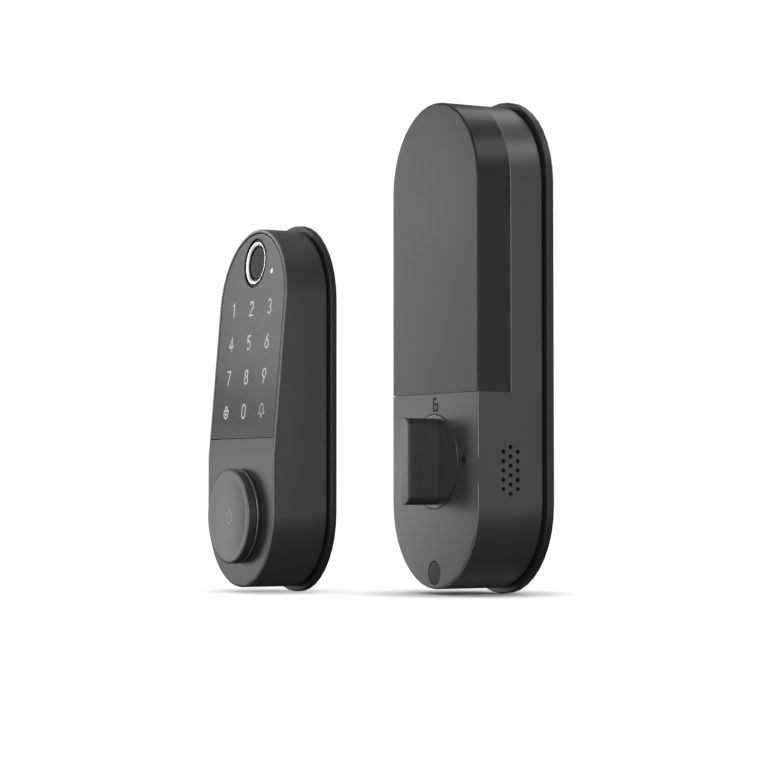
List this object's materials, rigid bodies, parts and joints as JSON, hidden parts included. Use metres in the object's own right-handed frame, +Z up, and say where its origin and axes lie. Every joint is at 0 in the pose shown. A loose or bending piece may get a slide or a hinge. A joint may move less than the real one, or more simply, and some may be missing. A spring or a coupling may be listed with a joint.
{
  "type": "keypad smart lock",
  "caption": "Two-part smart door lock: a wedge-shaped keypad unit with a fingerprint reader and turning knob, and a tall indoor unit with a thumbturn and sliding battery cover.",
  "frame": {"origin": "middle of the indoor unit's flat rear face, the face that goes against the door", "axes": "+Z up, +Y out of the rear faces (towards the door), both fronts face -Y, +X to the right seen from the front"},
  "size_m": [0.1314, 0.1005, 0.2064],
  "materials": {
    "coat": "satin charcoal powder coat",
    "dark_coat": "matt near-black powder coat",
    "knob_coat": "satin charcoal, fine",
    "cover_plastic": "fine-textured charcoal",
    "panel": "smooth hard-coated, near black",
    "seal": "matt black",
    "black_plastic": "matt",
    "bright_ring": "polished",
    "lamp": "frosted white",
    "circuit_board": "green solder mask",
    "can": "dull",
    "steel": "zinc plated",
    "brass": "machined",
    "nylon": "natural",
    "cell_wrap": "printed foil sleeve"
  },
  "bodies": {
    "frame": {"out_back_plate": "dark_coat", "out_gasket": "seal", "out_housing": "coat", "keypad_panel": "panel", "fingerprint_bezel": "black_plastic", "fingerprint_ring": "bright_ring", "fingerprint_sensor": "black_plastic", "status_lens": "lamp", "touch_board": "circuit_board", "touch_board_socket": "nylon", "key_cylinder": "brass", "out_screw_1": "steel", "out_screw_2": "steel", "out_screw_3": "steel", "out_screw_4": "steel", "in_back_plate": "dark_coat", "in_gasket": "seal", "in_housing": "coat", "cell_1": "cell_wrap", "cell_2": "cell_wrap", "cell_3": "cell_wrap", "cell_4": "cell_wrap", "contact_low_left": "steel", "contact_low_right": "steel", "contact_top_left": "steel", "contact_top_middle": "steel", "contact_top_right": "steel", "main_board": "circuit_board", "radio_module": "can", "main_board_socket": "nylon", "idler_pin": "steel", "motor": "can", "gear_bracket": "black_plastic", "speaker": "black_plastic", "in_screw_low": "steel", "in_screw_top": "steel"},
    "knob": {"knob": "knob_coat", "knob_clip": "steel"},
    "key_cap": {"key_cap": "knob_coat"},
    "key_plug": {"key_plug": "brass"},
    "spindle_driver": {"spindle_driver": "steel"},
    "battery_cover": {"battery_cover": "cover_plastic"},
    "thumbturn": {"thumbturn": "knob_coat", "thumb_shaft": "steel", "drive_gear": "nylon"},
    "idler_gear": {"idler_gear": "nylon"},
    "motor_pinion": {"motor_pinion": "brass"},
    "reset_button": {"reset_button": "nylon"},
    "screw_plug": {"screw_plug": "seal"}
  },
  "joints": [
    {"name": "knob_turn", "type": "hinge", "parent": "frame", "child": "knob", "pos_m": [-0.0602, -0.0965, -0.07095], "axis": [0, -1, 0], "continuous": true},
    {"name": "key_cap_pull", "type": "slide", "parent": "knob", "child": "key_cap", "axis": [0, -1, 0], "range_m": [0, 0.015]},
    {"name": "key_turn", "type": "hinge", "parent": "frame", "child": "key_plug", "pos_m": [-0.0602, -0.0845, -0.07095], "axis": [0, -1, 0], "range_deg": [-90, 90]},
    {"name": "spindle_turn", "type": "hinge", "parent": "frame", "child": "spindle_driver", "pos_m": [-0.0602, -0.0695, -0.07095], "axis": [0, -1, 0], "range_deg": [-90, 90]},
    {"name": "thumb_turn", "type": "hinge", "parent": "frame", "child": "thumbturn", "pos_m": [0, -0.035, -0.0482], "axis": [0, 1, 0], "range_deg": [0, 90]},
    {"name": "idler_turn", "type": "hinge", "parent": "frame", "child": "idler_gear", "pos_m": [-0.0135, -0.025, -0.06429], "axis": [0, 1, 0], "range_deg": [-360, 0]},
    {"name": "motor_turn", "type": "hinge", "parent": "frame", "child": "motor_pinion", "pos_m": [-0.0004, -0.027, -0.0748], "axis": [0, 1, 0], "range_deg": [0, 1080]},
    {"name": "cover_slide", "type": "slide", "parent": "frame", "child": "battery_cover", "axis": [0, 0, 1], "range_m": [0, 0.125]},
    {"name": "reset_press", "type": "slide", "parent": "frame", "child": "reset_button", "axis": [0, 1, 0], "range_m": [0, 0.0008], "stiffness_N_per_m": 400},
    {"name": "stopper_pull", "type": "slide", "parent": "frame", "child": "screw_plug", "axis": [0, -1, 0], "range_m": [0, 0.008]}
  ],
  "couplings": [
    {"joint": "spindle_turn", "follows": "key_turn", "ratio": 1},
    {"joint": "idler_turn", "follows": "thumb_turn", "ratio": -4},
    {"joint": "motor_turn", "follows": "thumb_turn", "ratio": 12}
  ]
}
